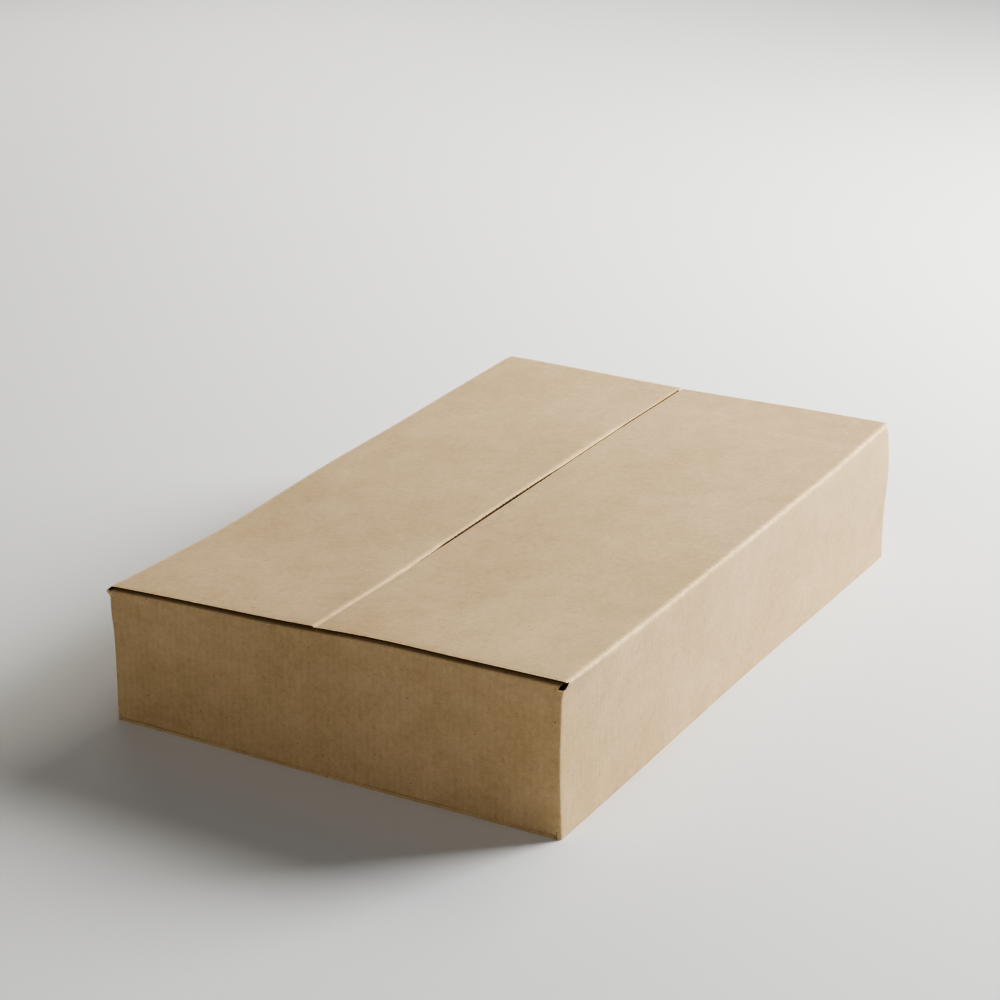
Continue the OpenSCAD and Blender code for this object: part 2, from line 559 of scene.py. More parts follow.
    def carton_lines(self):
        """Grid lines of the sheet without its outer top flaps."""
        u_must, u_soft = [], []
        for part in self.parts.values():
            u_must += [part.start, part.end]
            if isinstance(part, Bend):
                u_soft.append(np.linspace(part.start, part.end, BEND_COLUMNS + 1))
            else:
                u_soft.append(graded(part.start, part.end))
        for name in END_WALLS:
            for first, last in (self.top_sides(name), self.foot_sides(name)):
                u_must += [first, last]
                u_soft.append(graded(first, last))
        flat_long = self.low_long - self.fold_len
        flat_low = self.slot_low - self.fold_len
        flat_high = self.slot_high + self.fold_len
        v_must = [self.tip_end_low, self.tip_bottom, self.low_long, flat_long, self.corner_low,
                  self.slot_low, flat_low, self.tab_low, self.tab_high,
                  self.slot_high, flat_high, self.tip_end_high, self.tall_corner]
        v_soft = [
            graded(self.tip_bottom, flat_long),
            graded(self.tip_end_low, flat_low),
            np.linspace(flat_long, self.low_long, FOLD_ROWS + 1),
            np.linspace(flat_low, self.slot_low, FOLD_ROWS + 1),
            graded(self.slot_low, self.slot_high),
            graded(self.slot_high, self.tall_corner),
            np.linspace(self.slot_high, flat_high, FOLD_ROWS + 1),
            graded(flat_high, self.tip_end_high),
        ]
        return merge_lines(u_must, u_soft), merge_lines(v_must, v_soft)

    def inner_sides(self, name, inset):
        """Where the sides of an end wall's inner flap lie along the girth, inset from the corners."""
        wall = self.parts[name]
        return wall.start + inset, wall.start + 2 * self.corner_y - inset

    def top_sides(self, name):
        """Where the sides of an inner top flap lie along the girth."""
        first, last = self.inner_sides(name, self.top_side)
        if name == "near":
            first = first + self.tight_side - self.top_side
            last = last + self.top_side - self.right_side
        return first, last

    def foot_sides(self, name):
        """Where the sides of an inner bottom flap lie along the girth."""
        return self.inner_sides(name, self.board.foot_slot)

    def carton_cells(self, u, v):
        """Which cells hold board, by their middles, without the outer top flaps."""
        bottom = between(v, self.tip_bottom, self.low_long - self.fold_len)
        corners = self.within(u, "near_left_bend", "near_right_bend", "far_right_bend")
        cells = self.within(u, "tab", "tab_bend") & between(v, self.tab_low, self.tab_high)
        cells |= self.within(u, "tab_bend") & bottom
        cells |= corners & (between(v, self.corner_low, self.slot_high) | bottom)
        cells |= self.within(u, "near_left_bend") & between(v, self.slot_high, self.tall_corner)
        cells |= self.within(u, *LONG_WALLS) & between(v, self.tip_bottom, self.slot_high)
        cells |= self.on_end_wall(u) & between(v, self.slot_low, self.slot_high)
        for name in END_WALLS:
            cells |= between(u, *self.top_sides(name)) & between(v, self.slot_low, self.tip_end_high)
            cells |= between(u, *self.foot_sides(name)) & between(v, self.tip_end_low, self.slot_high)
        return cells

    def flap_lines(self, name, tip):
        """Grid lines of an outer top flap, with its crease and the strip of wall below it."""
        wall = self.parts[name]
        first, last = self.flap_span(name)
        u_soft = [graded(wall.start, wall.end), graded(first, last)]
        fold_middle = self.high_long + self.fold_len / 2
        v_must = [self.slot_high, self.high_long, fold_middle, self.flat_from, tip]
        v_soft = [graded(self.slot_high, self.high_long),
                  np.linspace(self.high_long, self.flat_from, FOLD_ROWS + 1),
                  graded(self.flat_from, tip)]
        return merge_lines([first, wall.start, wall.end, last], u_soft), merge_lines(v_must, v_soft)

    def flap_cells(self, name, u, v):
        """Which cells of an outer top flap hold board: its strip of wall stops at the corners."""
        return self.within(u, name) | (v > self.high_long + self.fold_len / 2)


def between(values, low, high):
    """Which values lie between two limits."""
    return (values > low) & (values < high)


def eased(place, levels):
    """A value that eases from level to level along the seam's places."""
    places = [state.place for state in SEAM]
    rank = np.interp(place, places, np.arange(len(places)))
    before = np.minimum(np.floor(rank).astype(int), len(places) - 2)
    step = rank - before
    ease = step ** 2 * (3 - 2 * step)
    levels = np.array(levels)
    return levels[before] * (1 - ease) + levels[before + 1] * ease


def graded(start, stop):
    """Grid lines from start to stop, close together at both ends."""
    fine = FINE_STEPS[FINE_STEPS < (stop - start) / 2]
    count = max(1, round((stop - start) / PANEL_STEP))
    return np.concatenate([start + fine, stop - fine, np.linspace(start, stop, count + 1)])


def merge_lines(must, soft):
    """Sorted grid lines: all that must be there, and the others that keep clear of them."""
    lines = []
    for line in sorted(must):
        if not lines or line - lines[-1] > TINY:
            lines.append(line)
    for line in np.concatenate(soft):
        if np.abs(np.array(lines) - line).min() > LINE_GAP:
            lines.append(line)
    return np.array(sorted(lines))


def middles(lines):
    """Places half way between neighbouring grid lines."""
    return (lines[1:] + lines[:-1]) / 2


def squared_arc(ratio, power):
    """A sine or cosine drawn towards a square corner, with its sign kept."""
    reach = np.abs(ratio)
    return np.sign(ratio) * np.where(reach > TINY, reach, 0.0) ** power


def cell_corners(held):
    """Which of the four cells round each grid point hold board."""
    return np.stack([held[:-1, :-1], held[1:, :-1], held[:-1, 1:], held[1:, 1:]])


def cut_distance(u, v, whole):
    """Distance of each grid point from the nearest cut edge, measured along the board."""
    distance = np.where(cell_corners(whole).all(0), FAR_AWAY, 0.0)
    u_gap = np.diff(u)[:, None]
    v_gap = np.diff(v)[None, :]
    for _ in range(SPREAD_PASSES):
        distance[1:] = np.minimum(distance[1:], distance[:-1] + u_gap)
        distance[:-1] = np.minimum(distance[:-1], distance[1:] + u_gap)
        distance[:, 1:] = np.minimum(distance[:, 1:], distance[:, :-1] + v_gap)
        distance[:, :-1] = np.minimum(distance[:, :-1], distance[:, 1:] + v_gap)
    return distance


class Sheet:
    """A closed mesh of folded board over the grid cells that hold board."""

    def __init__(self, blank, u, v, cells, joined, side_groove, undercut=0.0, shut_below=-FAR_AWAY):
        self.blank = blank
        self.side_groove = side_groove
        self.undercut = undercut
        self.shut_below = shut_below
        self.u, self.v = u, v
        self.cells = cells
        own = np.pad(cells, 1)
        self.corners = cell_corners(own)
        self.to_cut = cut_distance(u, v, own | joined)
        self.to_cut[:, v <= shut_below + TINY] = FAR_AWAY
        self.used = self.corners.any(0)
        self.rim = self.used & ~self.corners.all(0)
        self.points = []
        self.sources = []
        self.cuts = []
        self.folds = []
        self.count = 0
        self.faces = []
        self.slots = []

    def drawn_in(self, u):
        """Girth places of the lower paper, which stops short of both sides."""
        from_first = np.clip(1 - (u - self.u[0]) / UNDERCUT_REACH, 0, 1)
        from_last = np.clip(1 - (self.u[-1] - u) / UNDERCUT_REACH, 0, 1)
        return u + self.undercut * (from_first - from_last)

    def add_points(self, which, depth, inset=(0.0, 0.0), lower=False):
        """Adds one level of points, set in from the cuts, and returns their numbers on the grid."""
        i, j = np.nonzero(which)
        into = self.corners[:, i, j].astype(float)
        lean_u = np.sign(into[1] + into[3] - into[0] - into[2])
        lean_v = np.sign(into[2] + into[3] - into[0] - into[1])
        open_side = self.v[j] > self.shut_below + TINY
        u = self.u[i] + lean_u * np.where(open_side, inset[0], np.minimum(inset[0], SHUT_GROOVE))
        open_tip = np.abs(self.v[j] - self.blank.tip_bottom) > TINY
        v = self.v[j] + lean_v * np.where(open_tip, inset[1], np.minimum(inset[1], SHUT_GROOVE))
        if lower:
            u = self.drawn_in(u)
        to_cut = self.to_cut[i, j]
        to_fold = self.blank.near_fold(self.u[i], self.v[j])
        slack = self.blank.slack
        crush = slack.edge_crush * np.exp(-(to_cut / EDGE_CRUSH_REACH) ** 2)
        crush = crush + slack.fold_crush * np.exp(-(to_fold / FOLD_CRUSH_REACH) ** 2)
        middle = self.blank.thick / 2
        sunk = middle + (depth - middle) * (1 - crush)
        self.points.append(self.blank.place(u, v, sunk))
        self.sources.append(np.column_stack([u, v, np.full(len(u), depth)]))
        self.cuts.append(to_cut)
        self.folds.append(self.blank.near_fold(self.u[i], self.v[j], FIRM_FOLD))
        numbers = np.full(which.shape, -1)
        numbers[i, j] = self.count + np.arange(len(i))
        self.count += len(i)
        return numbers

    def add_quads(self, quads, slot):
        """Adds faces of one material slot."""
        self.faces += quads.tolist()
        self.slots += np.broadcast_to(slot, len(quads)).tolist()

    def cut_edges(self):
        """Start and end of each grid edge that has board on its left and none on its right."""
        held = np.pad(self.cells, 1)
        inner = held[1:-1, 1:-1]
        neighbours = (
            (held[1:-1, :-2], (0, 0), (1, 0)),
            (held[2:, 1:-1], (1, 0), (1, 1)),
            (held[1:-1, 2:], (1, 1), (0, 1)),
            (held[:-2, 1:-1], (0, 1), (0, 0)),
        )
        starts, ends = [], []
        for beyond, first, last in neighbours:
            i, j = np.nonzero(inner & ~beyond)
            starts.append(np.column_stack([i + first[0], j + first[1]]))
            ends.append(np.column_stack([i + last[0], j + last[1]]))
        return np.concatenate(starts).T, np.concatenate(ends).T

    def build(self, name, materials):
        """Makes the object: outside, inside, and a grooved rim along every cut."""
        thick, liner = self.blank.thick, self.blank.board.liner
        groove = (self.side_groove, self.blank.board.edge_groove)
        outer = self.add_points(self.used, 0.0)
        inner = self.add_points(self.used, thick, lower=True)
        levels = [
            outer,
            self.add_points(self.rim, liner),
            self.add_points(self.rim, liner, groove),
            self.add_points(self.rim, thick - liner, groove),
            self.add_points(self.rim, thick - liner, lower=True),
            inner,
        ]
        i, j = np.nonzero(self.cells)
        ring = ((i, j), (i + 1, j), (i + 1, j + 1), (i, j + 1))
        self.add_quads(np.column_stack([outer[corner] for corner in ring]), OUTSIDE)
        self.add_quads(np.column_stack([inner[corner] for corner in reversed(ring)]), INSIDE)
        (ai, aj), (bi, bj) = self.cut_edges()
        shut = (ai == bi) & (self.v[np.maximum(aj, bj)] <= self.shut_below + TINY)
        # The bottom liner's cut face and the paper inside the groove take the core's colour, darkened
        # partly as painted shade; only the top liner's cut face keeps the outside paper
        rim_slots = (OUTSIDE, CORE, CORE, CORE, CORE)
        for upper, lower, slot in zip(levels[:-1], levels[1:], rim_slots):
            quads = np.column_stack([upper[bi, bj], upper[ai, aj], lower[ai, aj], lower[bi, bj]])
            self.add_quads(quads, np.where(shut, OUTSIDE, slot))
        mesh = bpy.data.meshes.new(name)
        mesh.from_pydata(np.concatenate(self.points).tolist(), [], self.faces)
        for material in materials:
            mesh.materials.append(material)
        mesh.polygons.foreach_set("material_index", self.slots)
        mesh.polygons.foreach_set("use_smooth", [True] * len(self.faces))
        write_attribute(mesh, "blank", "FLOAT_VECTOR", "vector", np.concatenate(self.sources))
        write_attribute(mesh, "to_cut", "FLOAT", "value", np.concatenate(self.cuts))
        write_attribute(mesh, "to_fold", "FLOAT", "value", np.concatenate(self.folds))
        mesh.update()
        mesh.set_sharp_from_angle(angle=SHARP_ANGLE)
        return link_object(name, mesh)


def write_attribute(mesh, name, kind, field, values):
    """Stores one value for each point of a mesh."""
    attribute = mesh.attributes.new(name, kind, "POINT")
    attribute.data.foreach_set(field, np.asarray(values, np.float32).ravel())


def link_object(name, data):
    """A new object at the origin, in the scene."""
    piece = bpy.data.objects.new(name, data)
    bpy.context.scene.collection.objects.link(piece)
    return piece


class Wire:
    """A node's output, with arithmetic that adds Math nodes."""

    def __init__(self, sheet, socket):
        self.sheet = sheet
        self.socket = socket

    def math(self, operation, *values):
        return self.sheet.add("ShaderNodeMath", {"operation": operation}, dict(enumerate(values)))

    def __add__(self, other):
        return self.math("ADD", self, other)

    def __radd__(self, other):
        return self.math("ADD", other, self)

    def __sub__(self, other):
        return self.math("SUBTRACT", self, other)

    def __rsub__(self, other):
        return self.math("SUBTRACT", other, self)

    def __mul__(self, other):
        return self.math("MULTIPLY", self, other)

    def __rmul__(self, other):
        return self.math("MULTIPLY", other, self)

    def __truediv__(self, other):
        return self.math("DIVIDE", self, other)

    def sine(self):
        return self.math("SINE", self)

    def step_between(self, low, high):
        """Zero below low, one above high, and smooth between them."""
        return self.sheet.add(
            "ShaderNodeMapRange", {"interpolation_type": "SMOOTHSTEP"},
            {"Value": self, "From Min": low, "From Max": high})


class NodeSheet:
    """A node tree that is filled from Python expressions."""

    def __init__(self, tree):
        self.tree = tree

    def add(self, kind, settings=None, inputs=None, output=0):
        """Adds a node: its settings first, then the values or links of its sockets."""
        node = self.tree.nodes.new(kind)
        for key, value in (settings or {}).items():
            setattr(node, key, value)
        for key, value in (inputs or {}).items():
            if isinstance(value, Wire):
                self.tree.links.new(value.socket, node.inputs[key])
            else:
                node.inputs[key].default_value = value
        return Wire(self, node.outputs[output])

    def attribute(self, name, output):
        """A value stored on the piece's own points."""
        return self.add("ShaderNodeAttribute", {"attribute_name": name}, output=output)

    def stretched(self, vector, scale, turn=0.0):
        """Coordinates turned about their depth and then scaled, to lay out a pattern."""
        turned = self.add("ShaderNodeMapping", {"vector_type": "POINT"},
                          {"Vector": vector, "Rotation": (0.0, 0.0, turn)})
        return self.add("ShaderNodeVectorMath", {"operation": "MULTIPLY"}, {0: turned, 1: scale})

    def noise(self, vector, scale=1.0, detail=2.0, roughness=0.5, distortion=0.0):
        """Smooth noise about zero, mostly between minus one half and one half."""
        value = self.add("ShaderNodeTexNoise", {"noise_dimensions": "3D"},
                         {"Vector": vector, "Scale": scale, "Detail": detail,
                          "Roughness": roughness, "Distortion": distortion})
        return value - 0.5

    def tinted(self, tint, factor):
        """A colour made lighter or darker by a factor."""
        return self.add("ShaderNodeVectorMath", {"operation": "SCALE"}, {0: tint, "Scale": factor})

    def mixed(self, factor, first, second):
        """A colour between two."""
        return self.add("ShaderNodeMix", {"data_type": "RGBA"},
                        {0: factor, 6: first, 7: second}, output=2)

    def bumped(self, height, depth):
        """A normal for small relief of a given depth in metres."""
        return self.add("ShaderNodeBump", inputs={"Height": height, "Distance": depth})


def opaque(tint, gains):
    """A colour with its channels changed a little, and its alpha."""
    return tuple(channel * gain for channel, gain in zip(tint, gains)) + (1.0,)


def new_material(name):
    """A new material with one shader, and the sheet that fills its tree."""
    material = bpy.data.materials.new(name)
    material.use_nodes = True
    shader = material.node_tree.nodes["Principled BSDF"]
    return material, shader, NodeSheet(material.node_tree)


def finish_material(material, shader, base, roughness, normal, gloss):
    """Links what changes over the surface to the shader, and sets its gloss."""
    shader.inputs["Specular IOR Level"].default_value = gloss
    links = material.node_tree.links
    links.new(base.socket, shader.inputs["Base Color"])
    links.new(roughness.socket, shader.inputs["Roughness"])
    links.new(normal.socket, shader.inputs["Normal"])
    return material


# Bands along the creases and cuts of the facing paper, paled partly by real cracking and wear and
# partly by painted highlight, and the relief of each surface
CREASE_BAND = (0.2 * MM, 1.7 * MM)
WEAR_AND_HIGHLIGHT_BAND = 1.1 * MM
RUBBED_BAND = 9.0 * MM
LINER_RELIEF = 0.09 * MM
CORE_RELIEF = 0.1 * MM
FLUTE_RELIEF = 0.06 * MM
FLOOR_RELIEF = 0.04 * MM
# Shares of the paper's red, green and blue in its warm and its cool clouds
WARM_PAPER = (1.0, 0.985, 0.955)
COOL_PAPER = (0.995, 1.01, 1.045)
# Strength of the mottle, weaker on the inside paper
OUTER_MOTTLE = 3.4
INNER_MOTTLE = 2.0


def liner_paper(name, tint, board, strength):
    """Kraft facing paper: clouds, mottle and fibres, faint flutes with painted shade, and creases and
    cuts paled partly by real cracking and wear and partly by painted highlight.
    """
    material, shader, sheet = new_material(name)
    blank = sheet.attribute("blank", "Vector")
    to_cut = sheet.attribute("to_cut", "Fac")
    to_fold = sheet.attribute("to_fold", "Fac")
    clouds = sheet.noise(blank, scale=16.0, detail=3.0)
    blotches = sheet.noise(blank, scale=75.0, detail=3.0, roughness=0.6)
    mottle = sheet.noise(blank, scale=330.0, detail=4.0, roughness=0.65)
    grain = sheet.noise(blank, scale=1500.0, detail=2.0)
    lengthwise = sheet.stretched(blank, (420.0, 3600.0, 900.0), 0.10)
    crosswise = sheet.stretched(blank, (2600.0, 520.0, 900.0), -0.35)
    long_fibres = sheet.noise(lengthwise, distortion=0.6)
    cross_fibres = sheet.noise(crosswise, distortion=0.6)
    pale = long_fibres.step_between(0.13, 0.24)
    dark = cross_fibres.step_between(0.15, 0.26)
    specks = sheet.noise(blank, scale=820.0, detail=1.0).step_between(0.235, 0.275)
    along = sheet.add("ShaderNodeSeparateXYZ", inputs={0: blank}, output="X")
    # Waves at the flute pitch: relief for the bump, and painted shade in the tone
    flutes = (along * (TURN / board.flute_pitch)).sine()
    crease = 1.0 - to_fold.step_between(*CREASE_BAND)
    # Paler creases: partly real cracked fibres and partly painted highlight, weaker on folds that never
    # open
    crease_crack_and_highlight = crease * (0.55 + mottle * 1.4 + grain * 0.8)
    # Paler cut edges: partly real frayed paper and partly painted highlight where the cut rims catch
    # the light
    edge_wear_and_highlight = (1.0 - to_cut.step_between(0.0, WEAR_AND_HIGHLIGHT_BAND)) * (0.6 + mottle * 1.5)
    rubbed = 1.0 - to_cut.step_between(0.0, RUBBED_BAND)
    # Tone of the paper; its flute term is a faint painted shade of the washboard ridges
    tone = 1.0 + strength * (
        clouds * 0.07 + blotches * 0.07 + mottle * 0.11 + grain * 0.10
        + pale * 0.055 - dark * 0.075 - specks * 0.16 + flutes * 0.004)
    # Creases and cut edges paled by real cracking and wear and by painted highlight
    tone = tone + crease_crack_and_highlight * 0.62 + edge_wear_and_highlight * 0.50 - rubbed * 0.015
    warmth = (clouds * 1.2 + blotches * 0.9 + 0.5).step_between(0.1, 0.9)
    paper = sheet.mixed(warmth, opaque(tint, WARM_PAPER), opaque(tint, COOL_PAPER))
    base = sheet.tinted(paper, tone)
    roughness = 0.80 + grain * 0.10 + mottle * 0.08 - crease * 0.06
    height = (grain * 0.45 + mottle * 0.35 + long_fibres * 0.35 + cross_fibres * 0.25
              + blotches * 0.6 + flutes * 0.07)
    normal = sheet.bumped(height, LINER_RELIEF)
    shader.inputs["Sheen Weight"].default_value = 0.10
    shader.inputs["Sheen Roughness"].default_value = 0.45
    return finish_material(material, shader, base, roughness, normal, gloss=0.32)


def cut_core(name, tint):
    """Torn and pressed paper seen behind a cut edge, in a colour that is partly the core's own darker
    brown and partly painted shade of the groove.
    """
    material, shader, sheet = new_material(name)
    blank = sheet.attribute("blank", "Vector")
    layers = sheet.noise(sheet.stretched(blank, (500.0, 500.0, 6000.0)), detail=3.0)
    fuzz = sheet.noise(blank, scale=1900.0, detail=3.0, roughness=0.7)
    base = sheet.tinted(tuple(tint), 1.0 + layers * 0.5 + fuzz * 0.45)
    roughness = 0.9 + fuzz * 0.1
    normal = sheet.bumped(fuzz + layers * 0.5, CORE_RELIEF)
    return finish_material(material, shader, base, roughness, normal, gloss=0.15)


def fluted_paper(name, tint):
    """Unbleached paper of the flutes, rough along its cut rim."""
    material, shader, sheet = new_material(name)
    place = sheet.add("ShaderNodeTexCoord", output="Object")
    mottle = sheet.noise(place, scale=600.0, detail=3.0, roughness=0.6)
    fuzz = sheet.noise(place, scale=2400.0, detail=2.0)
    base = sheet.tinted(tuple(tint), 1.0 + mottle * 0.35 + fuzz * 0.3)
    roughness = 0.88 + mottle * 0.1
    normal = sheet.bumped(fuzz + mottle * 0.6, FLUTE_RELIEF)
    return finish_material(material, shader, base, roughness, normal, gloss=0.2)


def floor_paper(name, tint):
    """Plain pale floor with a barely visible tooth."""
    material, shader, sheet = new_material(name)
    place = sheet.add("ShaderNodeTexCoord", output="Object")
    clouds = sheet.noise(place, scale=1.3, detail=3.0)
    tooth = sheet.noise(place, scale=420.0, detail=2.0)
    base = sheet.tinted(tuple(tint), 1.0 + clouds * 0.03 + tooth * 0.02)
    roughness = 0.85 + tooth * 0.08
    normal = sheet.bumped(tooth, FLOOR_RELIEF)
    return finish_material(material, shader, base, roughness, normal, gloss=0.15)


def paper_set(scene):
    """The board's materials, made once and shared by all its pieces."""
    finish = scene.carton_finish
    board = scene.carton_board
    makers = {
        "outer_liner": lambda name: liner_paper(name, finish.outer, board, OUTER_MOTTLE),
        "inner_liner": lambda name: liner_paper(name, finish.inner, board, INNER_MOTTLE),
        "cut_core": lambda name: cut_core(name, finish.core),
        "fluted_paper": lambda name: fluted_paper(name, finish.flute),
    }
    for name, make in makers.items():
        if name not in bpy.data.materials:
            make(name)
    return [bpy.data.materials[name] for name in makers]


# Number inputs of the ribbon's tree, and how many points follow one wave
RIBBON_SIZES = ("Pitch", "Height", "Paper", "Depth", "Step")
POINTS_PER_WAVE = 10


def ribbon_tree():
    """Geometry nodes that run a waved ribbon of paper along each line of a mesh."""
    tree = bpy.data.node_groups.new("flute_ribbon", "GeometryNodeTree")
    tree.interface.new_socket("Geometry", in_out="INPUT", socket_type="NodeSocketGeometry")
    for name in RIBBON_SIZES:
        tree.interface.new_socket(name, in_out="INPUT", socket_type="NodeSocketFloat")
    tree.interface.new_socket("Material", in_out="INPUT", socket_type="NodeSocketMaterial")
    tree.interface.new_socket("Geometry", in_out="OUTPUT", socket_type="NodeSocketGeometry")
    sheet = NodeSheet(tree)
    given = tree.nodes.new("NodeGroupInput")
    value = {socket.name: Wire(sheet, socket) for socket in given.outputs}
    line = sheet.add("GeometryNodeMeshToCurve", inputs={"Mesh": value["Geometry"]})
    line = sheet.add("GeometryNodeResampleCurve", {"mode": "LENGTH"},
                     {"Curve": line, "Length": value["Step"]})
    along = sheet.add("GeometryNodeSplineParameter", output="Length")
    wave = (along * TURN / value["Pitch"]).sine() * value["Height"]
    lift = sheet.add("ShaderNodeCombineXYZ", inputs={"Z": wave})
    line = sheet.add("GeometryNodeSetPosition", inputs={"Geometry": line, "Offset": lift})
    line = sheet.add("GeometryNodeSetCurveNormal", {"mode": "Z_UP"}, {"Curve": line})
    strip = sheet.add("GeometryNodeCurvePrimitiveQuadrilateral", {"mode": "RECTANGLE"},
                      {"Width": value["Depth"], "Height": value["Paper"]})
    ribbon = sheet.add("GeometryNodeCurveToMesh",
                       inputs={"Curve": line, "Profile Curve": strip, "Fill Caps": True})
    ribbon = sheet.add("GeometryNodeRealizeInstances", inputs={"Geometry": ribbon})
    ribbon = sheet.add("GeometryNodeSetMaterial",
                       inputs={"Geometry": ribbon, "Material": value["Material"]})
    out = tree.nodes.new("NodeGroupOutput")
    tree.links.new(ribbon.socket, out.inputs["Geometry"])
    return tree


def edge_line(blank, span, v):
    """Points along a cut edge, in the middle of the board."""
    first, last = span
    count = max(2, round((last - first) / PANEL_STEP)) + 1
    u = np.linspace(first, last, count)
    return blank.place(u, np.full(count, v), np.full(count, blank.thick / 2))


def ribbon_object(name, blank, lines, material):
    """Waved paper along cut edges, made by geometry nodes and kept as a plain mesh."""
    board = blank.board
    points, edges = [], []
    for line in lines:
        first = len(points)
        points += line.tolist()
        edges += [(k, k + 1) for k in range(first, len(points) - 1)]
    mesh = bpy.data.meshes.new(name)
    mesh.from_pydata(points, edges, [])
    piece = link_object(name, mesh)
    modifier = piece.modifiers.new("flutes", "NODES")
    tree = bpy.data.node_groups.get("flute_ribbon") or ribbon_tree()
    modifier.node_group = tree
    hollow = blank.thick * (1 - blank.slack.edge_crush) - 2 * board.liner
    values = {
        "Pitch": board.flute_pitch,
        "Height": (hollow - board.flute_paper) / 2,
        "Paper": board.flute_paper,
        "Depth": board.edge_groove - board.flute_setback,
        "Step": board.flute_pitch / POINTS_PER_WAVE,
        "Material": material,
    }
    for item in tree.interface.items_tree:
        if item.in_out == "INPUT" and item.name in values:
            modifier[item.identifier] = values[item.name]
    evaluated = piece.evaluated_get(bpy.context.evaluated_depsgraph_get())
    piece.data = bpy.data.meshes.new_from_object(evaluated)
    piece.modifiers.remove(modifier)
    bpy.data.meshes.remove(mesh)
    return piece


def scene_blank(context):
    """The sheet with the scene's own sizes."""
    return Blank(context.scene.carton_board, context.scene.carton_slack)


class CARTON_OT_fold_body(bpy.types.Operator):
    """Fold the walls, the inner flaps, the bottom and the glue tab"""

    bl_idname = "carton.fold_body"
    bl_label = "Fold Body"

    def execute(self, context):
        blank = scene_blank(context)
        u, v = blank.carton_lines()
        u_middle, v_middle = middles(u), middles(v)
        cells = blank.carton_cells(u_middle[:, None], v_middle[None, :])
        papers = paper_set(context.scene)
        walls = blank.within(u_middle, *LONG_WALLS)
        joined = np.pad(walls[:, None] & (v_middle > blank.slot_high)[None, :], 1)
        sheet = Sheet(blank, u, v, cells, joined, blank.board.side_groove, shut_below=blank.slot_low)
        piece = sheet.build("carton_board", papers[:FLUTES])
        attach(piece, "carton")
        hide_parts("carton")
        return {"FINISHED"}


class CARTON_OT_fold_top_flaps(bpy.types.Operator):
    """Fold the two outer top flaps, each with its crease and a strip of its wall"""

    bl_idname = "carton.fold_top_flaps"
    bl_label = "Fold Top Flaps"

    def execute(self, context):
        blank = scene_blank(context)
        papers = paper_set(context.scene)
        for name, tip, outward in (("left", blank.tip_left, 1), ("right", blank.tip_right, -1)):
            u, v = blank.flap_lines(name, tip)
            cells = blank.flap_cells(name, middles(u)[:, None], middles(v)[None, :])
            joined = np.zeros((len(u) + 1, len(v) + 1), bool)
            joined[1:-1, 0] = cells[:, 0]
            board = blank.board
            sheet = Sheet(blank, u, v, cells, joined, board.flap_groove, undercut=board.undercut)
            piece = sheet.build(f"{name}_flap_board", papers[:FLUTES])
            outward * HALF_W
            outward * blank.corner_y
            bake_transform(piece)
            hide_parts(f"{name}_top_flap")
        return {"FINISHED"}


class CARTON_OT_fill_cut_edges(bpy.types.Operator):
    """Fill the cut edges that cross the flutes with waved paper"""

    bl_idname = "carton.fill_cut_edges"
    bl_label = "Fill Cut Edges"

    def execute(self, context):
        blank = scene_blank(context)
        paper = paper_set(context.scene)[FLUTES]
        behind = (blank.board.edge_groove + blank.board.flute_setback) / 2
        lines = {"carton": [], "left_flap": [], "right_flap": []}
        for name in END_WALLS:
            lines["carton"] += [
                edge_line(blank, blank.top_sides(name), blank.tip_end_high - behind),
                edge_line(blank, blank.foot_sides(name), blank.tip_end_low + behind),
            ]
        lines["right_flap"].append(edge_line(blank, blank.flap_span("right"), blank.tip_right - behind))
        for nearer, farther in OPEN_EDGE:
            span = blank.flap_stretch("left", farther), blank.flap_stretch("left", nearer)
            lines["left_flap"].append(edge_line(blank, span, blank.tip_left - behind))
        for body, paths in lines.items():
            piece = ribbon_object(f"{body}_flutes", blank, paths, paper)
            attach(piece, body)
        return {"FINISHED"}


# Radius of the floor and height of its rim in metres, and the share of the radius that is flat
FLOOR_RADIUS = 7.0
FLOOR_RIM = 1.2
FLOOR_FLAT = 0.6
FLOOR_RINGS = 24
FLOOR_SPOKES = 96
# Width of the camera's sensor in millimetres
SENSOR_WIDTH = 36.0
# Where most lights point, and the lights' tints
LIGHT_AIM = (0.0, 0.0, 0.04)
COOL = (0.96, 0.98, 1.0)
WARM = (1.0, 0.99, 0.97)
PLAIN = (1.0, 1.0, 1.0)
SUNNY = (1.0, 0.94, 0.81)


class Lamp(NamedTuple):
    """A square soft light, in metres, whose power is the stage setting of its name."""

    name: str
    spot: tuple
    width: float
    tint: tuple
    aim: tuple = LIGHT_AIM
    spread: float = math.pi


LAMPS = (
    Lamp("key", (1.1, -1.0, 0.75), 0.8, COOL),
    Lamp("back", (1.0, -0.2, 0.9), 0.7, SUNNY),
    Lamp("front", (-1.0, -1.5, 1.0), 1.0, WARM),
    Lamp("near", (-1.8, 0.4, 0.7), 1.2, WARM),
    Lamp("left", (1.3, 1.2, 0.8), 1.0, SUNNY),
    Lamp("behind", (1.4, 0.8, 1.5), 1.2, PLAIN, (1.4, 0.8, 0.0), math.radians(85)),
)


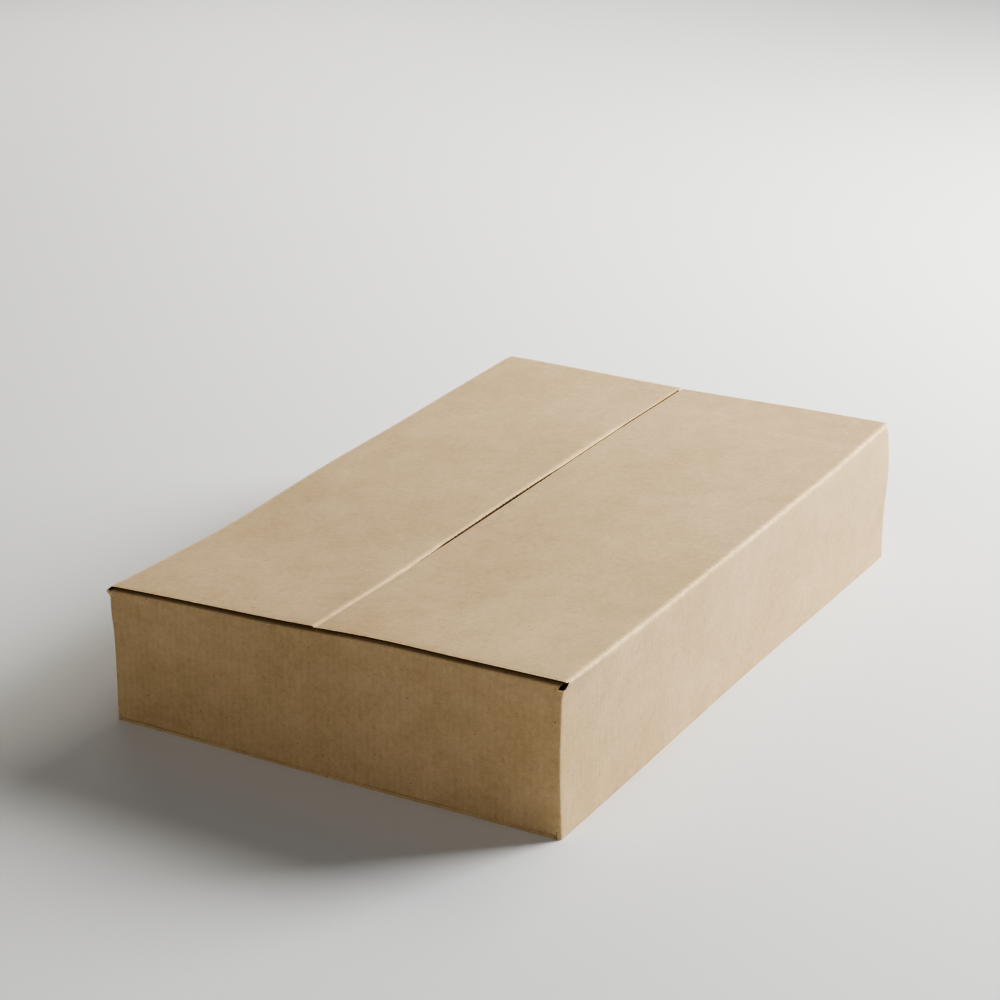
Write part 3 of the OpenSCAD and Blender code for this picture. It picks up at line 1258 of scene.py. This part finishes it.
def floor_mesh(name):
    """A wide round floor that curves up at its far rim."""
    points = [(0.0, 0.0, 0.0)]
    faces = []
    for ring in range(1, FLOOR_RINGS + 1):
        out = ring / FLOOR_RINGS
        radius = FLOOR_RADIUS * out
        height = FLOOR_RIM * max(0.0, (out - FLOOR_FLAT) / (1 - FLOOR_FLAT)) ** 2
        for spoke in range(FLOOR_SPOKES):
            turn = TURN * spoke / FLOOR_SPOKES
            points.append((radius * math.cos(turn), radius * math.sin(turn), height))
    for spoke in range(FLOOR_SPOKES):
        after = (spoke + 1) % FLOOR_SPOKES
        faces.append((0, 1 + spoke, 1 + after))
        for ring in range(FLOOR_RINGS - 1):
            inner = 1 + ring * FLOOR_SPOKES
            outer = inner + FLOOR_SPOKES
            faces.append((inner + spoke, outer + spoke, outer + after, inner + after))
    mesh = bpy.data.meshes.new(name)
    mesh.from_pydata(points, [], faces)
    mesh.polygons.foreach_set("use_smooth", [True] * len(faces))
    return mesh


def hang(lamp, power):
    """Adds a lamp to the scene, turned to what it lights."""
    light = bpy.data.lights.new(lamp.name, "AREA")
    light.shape = "SQUARE"
    light.size = lamp.width
    light.energy = power
    light.color = lamp.tint
    light.spread = lamp.spread
    piece = link_object(lamp.name, light)
    piece.location = lamp.spot
    facing = Vector(lamp.aim) - Vector(lamp.spot)
    piece.rotation_euler = facing.to_track_quat("-Z", "Y").to_euler()


class CARTON_OT_set_stage(bpy.types.Operator):
    """Lay the pale floor, hang the lights and place the camera"""

    bl_idname = "carton.set_stage"
    bl_label = "Set Stage"

    def execute(self, context):
        scene = context.scene
        stage = scene.carton_stage
        floor = link_object("floor", floor_mesh("floor"))
        floor.data.materials.append(floor_paper("floor_paper", scene.carton_finish.floor))
        for lamp in LAMPS:
            hang(lamp, getattr(stage, f"{lamp.name}_power"))
        world = bpy.data.worlds.new("even_light")
        world.use_nodes = True
        even = world.node_tree.nodes["Background"]
        even.inputs["Color"].default_value = (*PLAIN, 1.0)
        even.inputs["Strength"].default_value = stage.sky
        scene.world = world
        scene.view_settings.view_transform = "AgX"
        scene.view_settings.look = "AgX - Very High Contrast"
        self.place_camera(scene, stage)
        return {"FINISHED"}

    def place_camera(self, scene, stage):
        """Looks at the carton from the side that the photograph shows."""
        turn, rise = stage.azimuth, stage.elevation
        level = math.cos(rise)
        back = Vector((math.sin(turn) * level, -math.cos(turn) * level, math.sin(rise)))
        right = Vector((math.cos(turn), math.sin(turn), 0.0))
        up = back.cross(right)
        data = bpy.data.cameras.new("camera")
        data.lens = stage.lens
        data.sensor_width = SENSOR_WIDTH
        camera = link_object("camera", data)
        camera.location = back * stage.distance + right * stage.side_step + up * stage.rise
        camera.rotation_mode = "QUATERNION"
        camera.rotation_quaternion = (-back).to_track_quat("-Z", "Y")
        scene.camera = camera


OPERATORS = (
    CARTON_OT_fold_body,
    CARTON_OT_fold_top_flaps,
    CARTON_OT_fill_cut_edges,
    CARTON_OT_set_stage,
)


class CARTON_PT_settings(bpy.types.Panel):
    """The carton's settings and the steps that make it"""

    bl_idname = "CARTON_PT_settings"
    bl_label = "Slotted Carton"
    bl_space_type = "VIEW_3D"
    bl_region_type = "UI"
    bl_category = "Carton"

    def draw(self, context):
        for operator in OPERATORS:
            self.layout.operator(operator.bl_idname)
        for name, group in SETTINGS.items():
            box = self.layout.box()
            box.label(text=group.__doc__)
            for field in group.__annotations__:
                box.prop(getattr(context.scene, name), field)


CLASSES = (*SETTINGS.values(), *OPERATORS, CARTON_PT_settings)


def register():
    for cls in CLASSES:
        bpy.utils.register_class(cls)
    for name, group in SETTINGS.items():
        setattr(bpy.types.Scene, name, bpy.props.PointerProperty(type=group))


def unregister():
    for name in SETTINGS:
        delattr(bpy.types.Scene, name)
    for cls in reversed(CLASSES):
        bpy.utils.unregister_class(cls)


def main():
    register()
    bpy.ops.carton.fold_body()
    bpy.ops.carton.fold_top_flaps()
    bpy.ops.carton.fill_cut_edges()
    bpy.ops.carton.set_stage()


if __name__ == "__main__":
    main()
